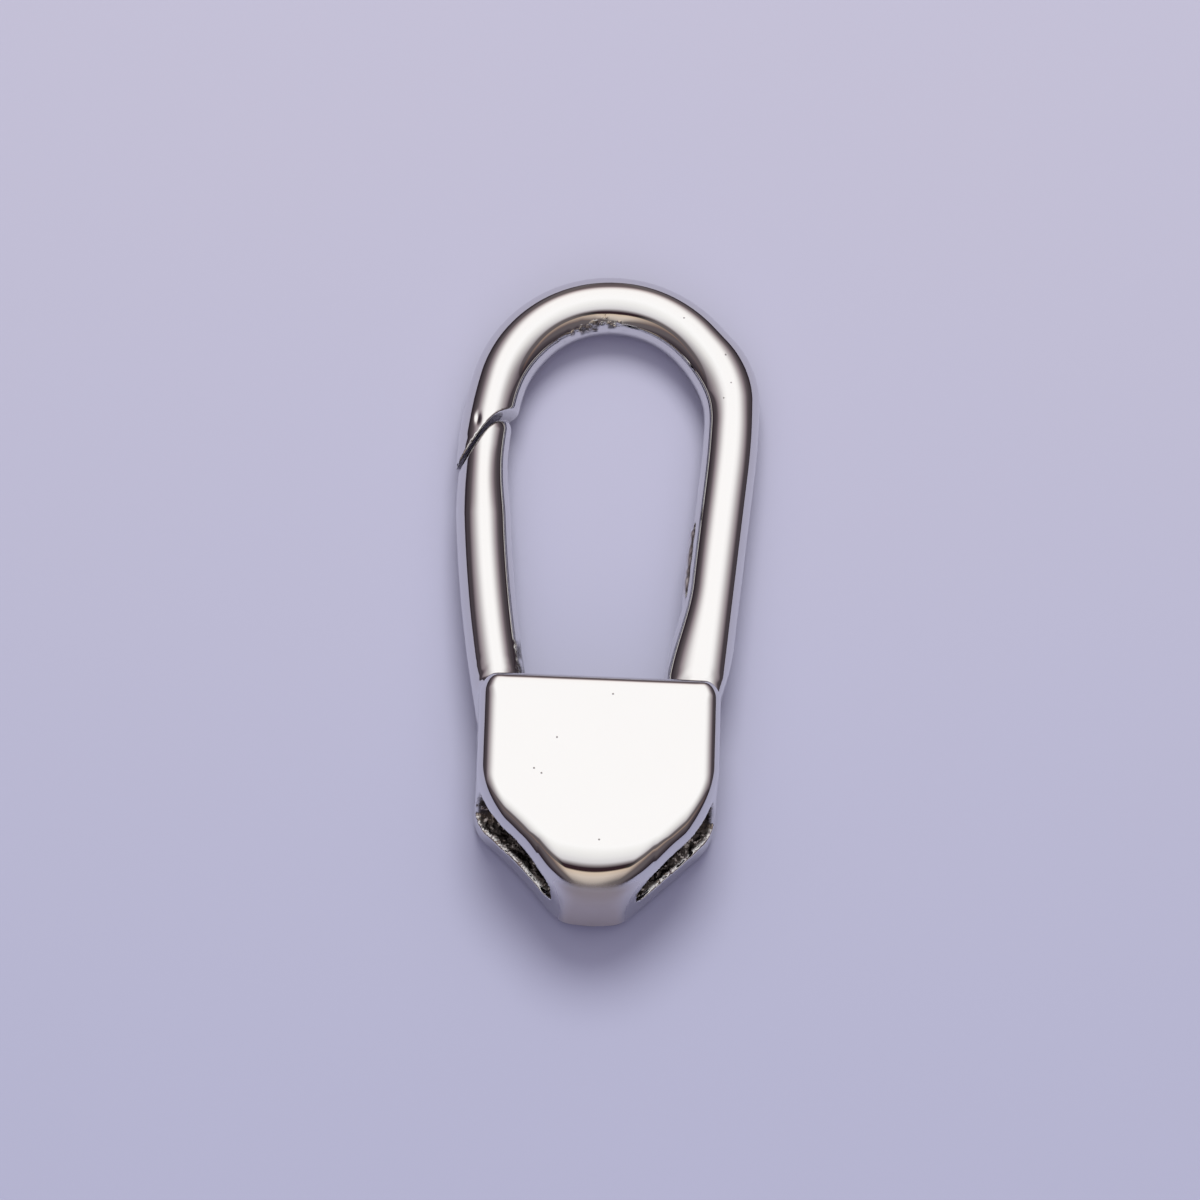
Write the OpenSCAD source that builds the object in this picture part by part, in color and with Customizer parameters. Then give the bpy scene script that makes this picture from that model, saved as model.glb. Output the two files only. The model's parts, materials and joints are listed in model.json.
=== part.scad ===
// Triggerless push clasp, lying on its back.
// The clasp is drawn flat first: x across, y towards the arch from the block's upper wall,
// z up from the block's back. It is then leaned as it lies by itself, because the loop's bar
// runs at mid thickness and so the arch sinks until it touches the surface.

/* [Loop bar] */
// Diameter of the round bar
bar_d = 1.9; // [1.8:0.05:1.95]
// Centre-line radius of the arch
arch_r = 4.07; // [4.0:0.01:4.15]
// Height of the arch's centre above the block's upper wall
arch_y = 10.45; // [10.2:0.05:11]
// Angle on the arch where it runs over into the right shoulder
shoulder_from = 43; // [40:1:46]
// Straight stretch between the arch and the right shoulder
shoulder_gap = 0.79; // [0.7:0.01:0.9]
// Centre-line radius of the right shoulder
shoulder_r = 2.6; // [2.4:0.05:2.8]
// Centre-line radius of the right side below the shoulder
side_r = 30; // [26:1:36]
// Angle by which the right side then leans inwards, in degrees
side_turn = 5.2; // [4.8:0.1:5.6]

/* [Nose and gate] */
// Angle on the arch where it runs over into the nose
nose_from = 166; // [165:1:167]
// Centre-line radius of the nose and of the gate's tip
nose_r = 15; // [14:0.5:16]
// Angle on that bend where the gate's long bow begins
nose_to = 182.5; // [181.5:0.5:183.5]
// Centre-line radius of the gate's long bow
gate_r = 53; // [50:1:56]
// Gap between the nose and the gate's tip, measured down the loop
seam_gap = 0.2; // [0.15:0.01:0.25]
// How far the gate opens inwards, in degrees
gate_open = 28; // [20:1:30]

/* [Hinge] */
// Depth of the hinge pin's axis below the block's upper wall
hinge_y = 0.75; // [0.7:0.05:0.85]
// Diameter of the hinge pin
pin_d = 0.8; // [0.7:0.05:0.9]
// Radius of the gate's round tail
tail_r = 1; // [0.98:0.01:1.04]
// Running clearance round the pin
pin_play = 0.03; // [0.02:0.01:0.05]
// Gap between the tail and the walls of its slot
slot_play = 0.1; // [0.08:0.01:0.12]

/* [Block] */
// Width of the block
block_w = 8.2; // [8.0:0.1:8.4]
// Length of the block from its upper wall to the end of the neck
block_l = 7.83; // [7.8:0.01:7.9]
// Thickness of the block
block_t = 4; // [3.9:0.05:4.2]
// Sideways offset of the block's middle from the arch's middle
block_x = -0.18; // [-0.2:0.01:-0.16]
// Width of the neck's end
neck_w = 1.95; // [1.9:0.05:2.1]
// Radius of the two corners between the sides and the slopes
corner_r = 1.3; // [1.2:0.1:1.4]
// Radius of the rounded front of the neck
neck_r = 1.35; // [1.2:0.05:1.4]
// Bevel along the front edges of the two slopes
slope_bevel = 0.5; // [0.4:0.05:0.55]
// Bevel along the front edges of the two sides
side_bevel = 0.3; // [0.2:0.05:0.35]
// Bevel along the front edge of the upper wall
top_bevel = 0.25; // [0.2:0.05:0.3]

/* [Link tunnel] */
// Height of the tunnel's floor above the back
tunnel_z = 1; // [0.95:0.05:1.05]
// Height of the tunnel
tunnel_h = 2.15; // [2.1:0.05:2.2]
// Length of the tunnel's section, along the block
tunnel_l = 3.2; // [3.1:0.05:3.25]
// Thickness of the neck between the tunnel and the block's end
neck_t = 0.5; // [0.45:0.05:0.6]
// Radius of the tunnel's four inner corners
tunnel_r = 0.5; // [0.4:0.1:0.7]

/* [Hidden] */
$fn = 96;

metal = [0.82, 0.81, 0.80];
worn_metal = [0.70, 0.69, 0.68];
bar_r = bar_d / 2;
bar_z = block_t / 2;
past = 1;

// Each stretch of the bar stops a little short, and a collar of almost its size joins the two
stop_short = 0.03;
collar_l = 0.2;
collar_rise = 0.012;

// Centre line of the arch, the shoulder and the right side
arch_end = [arch_r * cos(shoulder_from), arch_y + arch_r * sin(shoulder_from)];
shoulder_start = arch_end + shoulder_gap * [sin(shoulder_from), -cos(shoulder_from)];
shoulder_c = shoulder_start - shoulder_r * [cos(shoulder_from), sin(shoulder_from)];
side_x = shoulder_c[0] + shoulder_r;
side_c = [side_x - side_r, shoulder_c[1]];
side_end = side_c + side_r * [cos(side_turn), -sin(side_turn)];
foot_depth = 0.6;
foot = [side_end[0] - (side_end[1] + foot_depth) * tan(side_turn), -foot_depth];

// Centre line of the nose and the gate
nose_c = [(nose_r - arch_r) * -cos(nose_from), arch_y - (nose_r - arch_r) * sin(nose_from)];
nose_start = [arch_r * cos(nose_from), arch_y + arch_r * sin(nose_from)];
nose_end = nose_c + nose_r * [cos(nose_to), sin(nose_to)];
left_x = nose_c[0] - nose_r;
gate_c = nose_c - (gate_r - nose_r) * [cos(nose_to), sin(nose_to)];
gate_lean = asin((gate_c[1] + hinge_y) / gate_r);
pivot = [gate_c[0] - gate_r * cos(gate_lean), -hinge_y];

// Seam between the nose and the gate, from inside the loop to outside
seam = [[-2.6, arch_y + 0.4], [-3.95, arch_y - 0.5], [-4.7, arch_y - 1.4], [-5.6, arch_y - 2.8]];
seam_shift = [0.03, -seam_gap];

// Slot for the tail: the swung gate stands clear of its right wall
slot_h = bar_d + 2 * slot_play;
slot_r = tail_r + slot_play;
swung = 90 + gate_lean - gate_open;
slot_right = pivot[0] + (bar_r + slot_play + hinge_y * cos(swung)) / sin(swung);

// Back of the block, and the blind end of the pin's bore
back_bevel = 0.15;
pin_l = block_t - 0.5;
bore_slack = 0.05;

// Attitude at rest: the block's upper back edge and the arch both touch the surface
edge_y = -back_bevel;
rest_dy = arch_y + arch_r - edge_y;
lean = atan2(bar_z, rest_dy) - asin(bar_r / norm([rest_dy, bar_z]));
drop = edge_y * -sin(lean);
low_y = -block_l * cos(lean);
high_y = (arch_y + arch_r) * cos(lean) + bar_z * sin(lean) + bar_r;
mid_x = (left_x + side_x) / 2;

// Lays the flat drawing down with its box centred over the origin
module at_rest() {
    translate([-mid_x, -(low_y + high_y) / 2, -drop])
        rotate([-lean, 0, 0])
            children();
}

// One bent stretch of the bar, swept from angle a0 to angle a1 about centre c
module bend(c, r, a0, a1) {
    short = asin(stop_short / r);
    translate([c[0], c[1], bar_z])
        rotate([0, 0, a0 + short])
            rotate_extrude(angle = a1 - a0 - 2 * short)
                translate([r, 0])
                    circle(r = bar_r);
}

// Straight stretch of the bar from p to q
module stretch(p, q) {
    run = q - p;
    translate([p[0], p[1], bar_z])
        rotate([0, 90, atan2(run[1], run[0])])
            translate([0, 0, stop_short])
                cylinder(r = bar_r, h = norm(run) - 2 * stop_short);
}

// Short collar that joins two stretches of the bar at p, where the bar runs at the angle a
module collar(p, a) {
    translate([p[0], p[1], bar_z])
        rotate([0, 90, a])
            translate([0, 0, -collar_l / 2])
                cylinder(r = bar_r + collar_rise, h = collar_l);
}

// Space on the gate's side of the seam, moved by the vector by
module gate_side(by) {
    translate([by[0], by[1], bar_z - bar_d])
        linear_extrude(2 * bar_d)
            polygon(concat(seam, [[seam[3][0], -past], [seam[0][0], -past]]));
}

// Points on a corner of radius r about c, from angle a0 to angle a1
function corner(c, r, a0, a1, n = 8) =
    [for (i = [0:n]) c + r * [cos(a0 + (a1 - a0) * i / n), sin(a0 + (a1 - a0) * i / n)]];

// Home-plate outline of the block
module plate_outline() {
    half = block_w / 2;
    side_end = -block_l + half - neck_w / 2 + corner_r * tan(22.5);
    right_side = corner([half - corner_r, side_end], corner_r, 0, -45);
    left_side = corner([corner_r - half, side_end], corner_r, 225, 180);
    translate([block_x, 0])
        polygon(concat(
            [[-half, 0], [half, 0]], right_side,
            [[neck_w / 2, -block_l], [-neck_w / 2, -block_l]], left_side));
}

// Space of a bevel along a front edge of the block that starts at p and runs at the angle a
module bevel_space(p, a, bevel) {
    translate([block_x + p[0], p[1], block_t])
        rotate([0, 0, a])
            rotate([45, 0, 0])
                translate([-block_l, -bevel / sqrt(2), -bevel / sqrt(2)])
                    cube([2 * block_l, bevel * sqrt(2), bevel * sqrt(2)]);
}

// Side profile of the block, with the neck's rounded front
module side_profile() {
    difference() {
        polygon([
            [-block_l, 0], [-back_bevel, 0], [0, back_bevel],
            [0, block_t - top_bevel], [-top_bevel, block_t], [-block_l, block_t]]);
        translate([-block_l + neck_r, block_t - neck_r])
            difference() {
                translate([-neck_r - past, 0])
                    square(neck_r + past);
                circle(r = neck_r);
            }
    }
}

// The block's body before its slot, tunnel and bore
module block_body() {
    difference() {
        intersection() {
            linear_extrude(block_t)
                plate_outline();
            translate([-block_w, 0, 0])
                rotate([90, 0, 90])
                    linear_extrude(2 * block_w)
                        side_profile();
        }
        for (side = [-1, 1]) {
            bevel_space([side * block_w / 2, 0], 90, side_bevel);
            bevel_space([side * neck_w / 2, -block_l], side * 45, slope_bevel);
        }
    }
}

// Space for the gate's tail, open at the block's left side and upper wall
module tail_slot() {
    translate([0, 0, bar_z - slot_h / 2])
        linear_extrude(slot_h) {
            translate(pivot)
                circle(r = slot_r);
            translate([pivot[0] - 2 * past, pivot[1]])
                square([slot_right - pivot[0] + 2 * past, hinge_y + past]);
            translate([pivot[0] - 2 * past, pivot[1] - slot_r])
                square([2 * past, slot_r]);
        }
}

// Passage for a chain's link, right across the block above the neck
module link_tunnel() {
    low = -block_l + neck_t;
    translate([-block_w, low, tunnel_z])
        rotate([90, 0, 90])
            linear_extrude(2 * block_w)
                union() {
                    translate([tunnel_r, 0])
                        square([tunnel_l - 2 * tunnel_r, tunnel_h]);
                    translate([0, tunnel_r])
                        square([tunnel_l, tunnel_h - 2 * tunnel_r]);
                    for (y = [tunnel_r, tunnel_l - tunnel_r], z = [tunnel_r, tunnel_h - tunnel_r])
                        translate([y, z])
                            circle(r = tunnel_r);
                }
}

// Cast frame: the loop's fixed bar with its nose, and the block
module frame() {
    color(metal)
        at_rest()
            difference() {
                union() {
                    difference() {
                        union() {
                            bend([0, arch_y], arch_r, shoulder_from, nose_from);
                            collar(nose_start, nose_from + 90);
                            bend(nose_c, nose_r, nose_from, 180);
                        }
                        gate_side([0, 0]);
                    }
                    collar(arch_end, shoulder_from - 90);
                    stretch(arch_end, shoulder_start);
                    collar(shoulder_start, shoulder_from - 90);
                    bend(shoulder_c, shoulder_r, 0, shoulder_from);
                    collar([side_x, shoulder_c[1]], -90);
                    bend(side_c, side_r, -side_turn, 0);
                    collar(side_end, -90 - side_turn);
                    stretch(side_end, foot);
                    block_body();
                }
                tail_slot();
                link_tunnel();
                translate([pivot[0], pivot[1], -past])
                    cylinder(d = pin_d + 0.02, h = past + pin_l + bore_slack);
            }
}

// Push gate: the bowed bar with its cut tip and its round tail
module gate() {
    color(metal)
        at_rest()
            difference() {
                union() {
                    intersection() {
                        bend(nose_c, nose_r, nose_from, nose_to);
                        gate_side(seam_shift);
                    }
                    collar(nose_end, nose_to + 90);
                    bend(gate_c, gate_r, nose_to, 180 + gate_lean);
                    translate([pivot[0], pivot[1], bar_z - bar_r + slot_play])
                        cylinder(r = tail_r, h = bar_d - 2 * slot_play);
                }
                translate([pivot[0], pivot[1], 0])
                    cylinder(d = pin_d + 2 * pin_play, h = block_t);
            }
}

// Hinge pin, flush with the back and blind at the front
module hinge_pin() {
    color(worn_metal)
        at_rest()
            translate([pivot[0], pivot[1], 0])
                cylinder(d = pin_d, h = pin_l);
}

frame();
gate();
hinge_pin();
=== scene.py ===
"""Dresses the push clasp: its polished casting, its gate, its hinge pin and a plain studio.

Every shape is drawn in the clasp's flat drawing, in millimetres, as the part's source draws it:
x runs across the loop, y from the block's upper wall towards the arch, and z up from the
block's back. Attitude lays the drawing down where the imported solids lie.
"""

import json
import logging
import math
from collections.abc import Callable
from dataclasses import dataclass, field
from enum import Enum

import bpy
import numpy as np
from mathutils import Matrix, Vector


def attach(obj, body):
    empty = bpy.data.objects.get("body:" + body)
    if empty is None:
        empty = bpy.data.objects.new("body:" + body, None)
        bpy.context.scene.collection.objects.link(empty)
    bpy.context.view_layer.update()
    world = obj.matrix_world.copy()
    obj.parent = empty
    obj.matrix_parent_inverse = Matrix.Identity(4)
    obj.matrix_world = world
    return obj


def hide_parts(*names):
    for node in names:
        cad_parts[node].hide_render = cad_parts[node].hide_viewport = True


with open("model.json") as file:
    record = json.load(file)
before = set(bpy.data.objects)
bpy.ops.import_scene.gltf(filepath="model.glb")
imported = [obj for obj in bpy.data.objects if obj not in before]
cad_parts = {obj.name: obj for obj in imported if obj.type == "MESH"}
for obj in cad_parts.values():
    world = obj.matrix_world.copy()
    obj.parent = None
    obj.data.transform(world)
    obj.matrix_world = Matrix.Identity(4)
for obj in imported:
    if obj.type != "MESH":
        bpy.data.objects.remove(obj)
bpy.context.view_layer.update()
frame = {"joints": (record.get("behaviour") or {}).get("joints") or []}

LOG = logging.getLogger("push_clasp")
Array = np.ndarray
Solid = Callable[[Array, Array, Array], Array]
Socket = bpy.types.NodeSocket
Span = tuple[float, float]
Spot = tuple[float, float]
Point = tuple[float, float, float]
Tone = tuple[float, float, float]
Colour = tuple[float, float, float, float]
Stops = tuple[tuple[float, Tone], ...]
MM = 0.001


class Body(Enum):
    """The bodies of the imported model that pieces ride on."""

    FRAME = "frame"
    GATE = "gate"


class Slot(Enum):
    """The record's material slots, which no piece here takes its finish from."""

    POLISHED = "polished_metal"
    PIN = "pin_metal"


def ease(t: Array) -> Array:
    """Smooth step from 0 to 1 as t goes from 0 to 1."""
    t = np.clip(t, 0.0, 1.0)
    return t * t * (3.0 - 2.0 * t)


def climb(value: Array, start: float, stop: float) -> Array:
    """Smooth step from 0 where the value is start to 1 where it is stop, either way round."""
    return ease((value - start) / (stop - start))


def window(value: Array, first: Span, second: Span) -> Array:
    """Share that climbs over the first span from one side and over the second from the other."""
    return climb(value, *first) * climb(value, *second)


def bell(value: Array, middle: float, reach: float) -> Array:
    """Bell that is 1 where the value is middle and falls to 0.37 one reach away."""
    return np.exp(-(((value - middle) / reach) ** 2))


def between(low: Array | float, high: Array | float, share: Array) -> Array:
    """Value between low and high, by a share from 0 to 1."""
    return low + (high - low) * share


def round_cut(a: Array, b: Array, radius: Array | float) -> Array:
    """Space that two solids share, with a rounded edge where their surfaces meet.

    Args:
        a: Distances to the first solid, negative inside it.
        b: Distances to the second solid.
        radius: Radius of the edge, in millimetres.

    Returns:
        Distances to the shared space.
    """
    outside = np.hypot(np.maximum(a + radius, 0.0), np.maximum(b + radius, 0.0))
    return np.minimum(np.maximum(a, b), -radius) + outside


def soft_cut(a: Array, b: Array, radius: Array | float, power: float) -> Array:
    """Space that two solids share, with a buffed edge that starts gently and turns tightly.

    Args:
        a: Distances to the first solid, negative inside it.
        b: Distances to the second solid.
        radius: Width of the edge on each side, in millimetres.
        power: 2 gives a circle, and more gathers the turn in the edge's middle.

    Returns:
        Distances to the shared space.
    """
    first, second = np.maximum(a + radius, 0.0), np.maximum(b + radius, 0.0)
    outside = (first**power + second**power) ** (1.0 / power)
    return np.minimum(np.maximum(a, b), -radius) + outside


def round_join(a: Array, b: Array, radius: Array | float) -> Array:
    """Distances to two solids together, with a fillet of the radius where they meet."""
    return -round_cut(-a, -b, radius)


@dataclass(frozen=True)
class Attitude:
    """Where the flat drawing lies in the row frame.

    Attributes:
        lean: Angle in radians by which the clasp leans down towards its arch.
        shift: Where the drawing's origin lies, in millimetres.
    """

    lean: float
    shift: Point

    @classmethod
    def from_hinge(cls, joint: dict, pivot: Point) -> "Attitude":
        """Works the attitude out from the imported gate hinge.

        Args:
            joint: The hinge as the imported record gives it.
            pivot: The hinge's place in the flat drawing, in millimetres.

        Returns:
            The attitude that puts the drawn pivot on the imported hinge.
        """
        axis = Vector(joint["axis"])
        lean = math.atan2(-axis.y, -axis.z)
        turned = Matrix.Rotation(-lean, 3, "X") @ Vector(pivot)
        place = Vector(joint["pos_m"]) / MM - turned
        return cls(lean, tuple(place))

    @property
    def turn(self) -> Matrix:
        """Rotation from the flat drawing to the row frame."""
        return Matrix.Rotation(-self.lean, 3, "X")

    def points(self, flat: Array) -> Array:
        """Row places in metres of an array of flat points in millimetres."""
        return (flat @ np.array(self.turn).T + np.array(self.shift)) * MM

    def directions(self, flat: Array) -> Array:
        """Row directions of an array of directions in the flat drawing."""
        return flat @ np.array(self.turn).T

    def point(self, flat: Point) -> Vector:
        """Row place in metres of one flat point in millimetres."""
        return Vector(self.points(np.array([flat], float))[0])


@dataclass
class Grain:
    """Smooth lattice noise that is the same on each run.

    Attributes:
        pitch: Size of a lump, in millimetres.
        seed: Number that the lattice is drawn from.
        depth: Greatest value of the noise, up and down.
        upright: Share by which heights count, which is below 1 for upright streaks.
        size: Cells of the lattice before it repeats.
    """

    pitch: float
    seed: int
    depth: float = 1.0
    upright: float = 1.0
    size: int = 32
    lattice: Array = field(init=False, repr=False)

    def __post_init__(self) -> None:
        """Draws the lattice."""
        dice = np.random.default_rng(self.seed)
        self.lattice = dice.uniform(-1.0, 1.0, (self.size,) * 3).astype(np.float32)

    def at(self, x: Array, y: Array, z: Array) -> Array:
        """Noise at the points x, y, z of the flat drawing."""
        cells, shares = [], []
        for coordinate in (x, y, self.upright * z):
            place = np.asarray(coordinate, np.float32) / self.pitch
            low = np.floor(place)
            cells.append(low.astype(np.int64))
            shares.append(ease(place - low))
        total = 0.0
        for corner in range(8):
            steps = [(corner >> axis) & 1 for axis in range(3)]
            weight = 1.0
            for share, step in zip(shares, steps):
                weight = weight * (share if step else 1.0 - share)
            index = tuple((cell + step) % self.size for cell, step in zip(cells, steps))
            total = total + weight * self.lattice[index]
        return self.depth * total


@dataclass(frozen=True)
class Bend:
    """One circular stretch of the bar's centre line, swept anticlockwise.

    Attributes:
        centre: Centre of the circle.
        radius: Radius of the circle.
        start: Angle at which the stretch begins, in degrees.
        sweep: Angle that it covers, in degrees.
    """

    centre: Spot
    radius: float
    start: float
    sweep: float

    def end(self, share: float) -> Spot:
        """Point at a share, 0 to 1, of the stretch."""
        angle = math.radians(self.start + share * self.sweep)
        return (
            self.centre[0] + self.radius * math.cos(angle),
            self.centre[1] + self.radius * math.sin(angle),
        )

    def offset(self, x: Array, y: Array) -> Array:
        """Distance from the stretch in its plane, positive outside the loop.

        Args:
            x: Places across the loop.
            y: Places along the loop.

        Returns:
            The signed distances, measured from the nearer end beyond the stretch.
        """
        dx, dy = x - self.centre[0], y - self.centre[1]
        reach = np.hypot(dx, dy) - self.radius
        turned = (np.degrees(np.arctan2(dy, dx)) - self.start - self.sweep / 2 + 180.0) % 360.0
        beside = np.abs(turned - 180.0) <= self.sweep / 2
        ends = [np.hypot(x - px, y - py) for px, py in (self.end(0.0), self.end(1.0))]
        side = np.where(reach < 0, -1.0, 1.0)
        return np.where(beside, reach, side * np.minimum(*ends))


@dataclass(frozen=True)
class Straight:
    """One straight stretch of the bar's centre line, with the loop's outside on its right.

    Attributes:
        first: Where it begins.
        last: Where it ends.
    """

    first: Spot
    last: Spot

    def offset(self, x: Array, y: Array) -> Array:
        """Distance from the stretch in its plane, positive outside the loop."""
        run = np.subtract(self.last, self.first)
        length = np.hypot(*run)
        ux, uy = run / length
        dx, dy = x - self.first[0], y - self.first[1]
        along = np.clip(dx * ux + dy * uy, 0.0, length)
        reach = np.hypot(dx - along * ux, dy - along * uy)
        return np.where(dx * uy - dy * ux < 0, -reach, reach)


@dataclass(frozen=True)
class Line:
    """The bar's centre line, made of bends and straight stretches."""

    stretches: tuple[Bend | Straight, ...]

    def offset(self, x: Array, y: Array) -> Array:
        """Signed distance from the nearest stretch, positive outside the loop."""
        best = self.stretches[0].offset(x, y)
        for stretch in self.stretches[1:]:
            other = stretch.offset(x, y)
            best = np.where(np.abs(other) < np.abs(best), other, best)
        return best


@dataclass(frozen=True)
class Seam:
    """The slanted cut between the nose and the gate's tip, seen from the front.

    Attributes:
        across: Places across the loop, from outside to inside.
        along: Height of the cut along the loop at each of them.
        ease_width: Width over which its corners are eased.
        samples: Places within that width whose heights are averaged.
        slope: How steeply the cut climbs towards the inside, on the whole.
        gap: Space between the nose and the tip, down the loop.
    """

    across: tuple[float, ...] = (-5.6, -4.95, -4.55, -4.25, -4.0, -3.6, -2.6)
    along: tuple[float, ...] = (7.65, 8.66, 9.27, 9.66, 9.9, 10.12, 10.5)
    ease_width: float = 0.3
    samples: int = 7
    slope: float = 1.35
    gap: float = 0.13

    def above(self, x: Array, y: Array) -> Array:
        """Distance beyond the cut towards the arch, which is negative on the gate's side."""
        steps = np.linspace(-0.5, 0.5, self.samples) * self.ease_width
        height = sum(np.interp(x + step, self.across, self.along) for step in steps) / len(steps)
        return (y - height) / math.hypot(1.0, self.slope)


def polish_waves() -> Grain:
    """Faint waves that hand polishing leaves in a flat or round surface."""
    return Grain(1.3, 5, depth=0.0035)


@dataclass
class Loop:
    """Driving sizes of the loop's bar, the same as in the part's source.

    Attributes:
        bar_radius: Radius of the bar.
        bar_height: Height of its centre line above the block's back.
        arch_radius: Radius of the arch's centre line.
        arch_y: Height of the arch's centre above the block's upper wall.
        shoulder_from: Angle at which the arch runs into the right shoulder.
        shoulder_gap: Straight stretch before the shoulder.
        shoulder_radius: Radius of the shoulder's centre line.
        side_radius: Radius of the bend below the shoulder.
        side_sweep: Angle of that bend, after which the side runs straight to the block.
        nose_from: Angle at which the arch runs into the nose.
        nose_radius: Radius of the nose's centre line.
        nose_to: Angle on that bend where the gate's long bow begins.
        gate_radius: Radius of the gate's long bow.
        hinge_y: Depth of the hinge below the block's upper wall.
        foot_y: Where the right side ends inside the block.
    """

    bar_radius: float = 0.95
    bar_height: float = 2.0
    arch_radius: float = 4.07
    arch_y: float = 10.45
    shoulder_from: float = 43.0
    shoulder_gap: float = 0.79
    shoulder_radius: float = 2.6
    side_radius: float = 30.0
    side_sweep: float = 5.2
    nose_from: float = 166.0
    nose_radius: float = 15.0
    nose_to: float = 182.5
    gate_radius: float = 53.0
    hinge_y: float = 0.75
    foot_y: float = -0.6

    @property
    def arch(self) -> Bend:
        """The arch, from the shoulder to the nose."""
        return Bend(
            (0.0, self.arch_y), self.arch_radius, self.shoulder_from,
            self.nose_from - self.shoulder_from,
        )

    @property
    def nose(self) -> Bend:
        """The bend that the nose and the gate's tip share."""
        shift = self.nose_radius - self.arch_radius
        angle = math.radians(self.nose_from)
        centre = (-shift * math.cos(angle), self.arch_y - shift * math.sin(angle))
        return Bend(centre, self.nose_radius, self.nose_from, self.nose_to - self.nose_from)

    @property
    def gate(self) -> Bend:
        """The gate's bow, from below its tip to the hinge."""
        shift = self.gate_radius - self.nose_radius
        angle = math.radians(self.nose_to)
        middle = self.nose.centre
        centre = (middle[0] - shift * math.cos(angle), middle[1] - shift * math.sin(angle))
        lean = math.degrees(math.asin((centre[1] + self.hinge_y) / self.gate_radius))
        return Bend(centre, self.gate_radius, self.nose_to, 180.0 + lean - self.nose_to)

    @property
    def pivot(self) -> Point:
        """Place of the hinge's axis at the bar's mid height."""
        x, y = self.gate.end(1.0)
        return (x, y, self.bar_height)

    @property
    def left_line(self) -> Line:
        """Centre line of the arch and the nose."""
        return Line((self.arch, self.nose))

    @property
    def inner_line(self) -> Line:
        """Line that the right side's inner wall follows, with one even bend at the shoulder."""
        angle = math.radians(self.shoulder_from)
        side = self.right_line.stretches[2]
        away = (math.cos(angle), math.sin(angle))
        first = self.arch.end(0.0)
        gap = (first[0] - side.centre[0], first[1] - side.centre[1])
        reach = side.radius - (gap[0] * away[0] + gap[1] * away[1])
        radius = (side.radius**2 - gap[0] ** 2 - gap[1] ** 2) / (2.0 * reach)
        middle = (first[0] - radius * away[0], first[1] - radius * away[1])
        turn = math.atan2(middle[1] - side.centre[1], middle[0] - side.centre[0])
        bend = Bend(middle, radius, math.degrees(turn), self.shoulder_from - math.degrees(turn))
        sweep = self.side_sweep + math.degrees(turn)
        lower = Bend(side.centre, side.radius, -self.side_sweep, sweep)
        return Line((bend, lower, self.right_line.stretches[3]))

    @property
    def right_line(self) -> Line:
        """Centre line of the shoulder and the right side."""
        angle = math.radians(self.shoulder_from)
        cosine, sine = math.cos(angle), math.sin(angle)
        first = self.arch.end(0.0)
        last = (first[0] + self.shoulder_gap * sine, first[1] - self.shoulder_gap * cosine)
        middle = (last[0] - self.shoulder_radius * cosine, last[1] - self.shoulder_radius * sine)
        shoulder = Bend(middle, self.shoulder_radius, 0.0, self.shoulder_from)
        top = shoulder.end(0.0)
        centre = (top[0] - self.side_radius, top[1])
        side = Bend(centre, self.side_radius, -self.side_sweep, self.side_sweep)
        start = side.end(0.0)
        lean = math.tan(math.radians(self.side_sweep))
        foot = (start[0] - (start[1] - self.foot_y) * lean, self.foot_y)
        return Line((Straight(last, first), shoulder, side, Straight(foot, start)))

    def bar(self, offset: Array, z: Array, square: Array | float, flare: Array | float) -> Array:
        """Distances to the bar round a centre line.

        Args:
            offset: Distances from the centre line in its plane, positive outside the loop.
            z: Heights above the block's back.
            square: Power of the section's outline: 2 is round, and more is squarer.
            flare: Extra half width on the loop's inner side.

        Returns:
            The distances in millimetres, negative inside the bar.
        """
        half = self.bar_radius + np.where(offset < 0, flare, 0.0)
        across = np.abs(offset) / half
        up = np.abs(z - self.bar_height) / self.bar_radius
        reach = (across**square + up**square) ** (1.0 / square)
        return (reach - 1.0) * self.bar_radius


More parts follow.
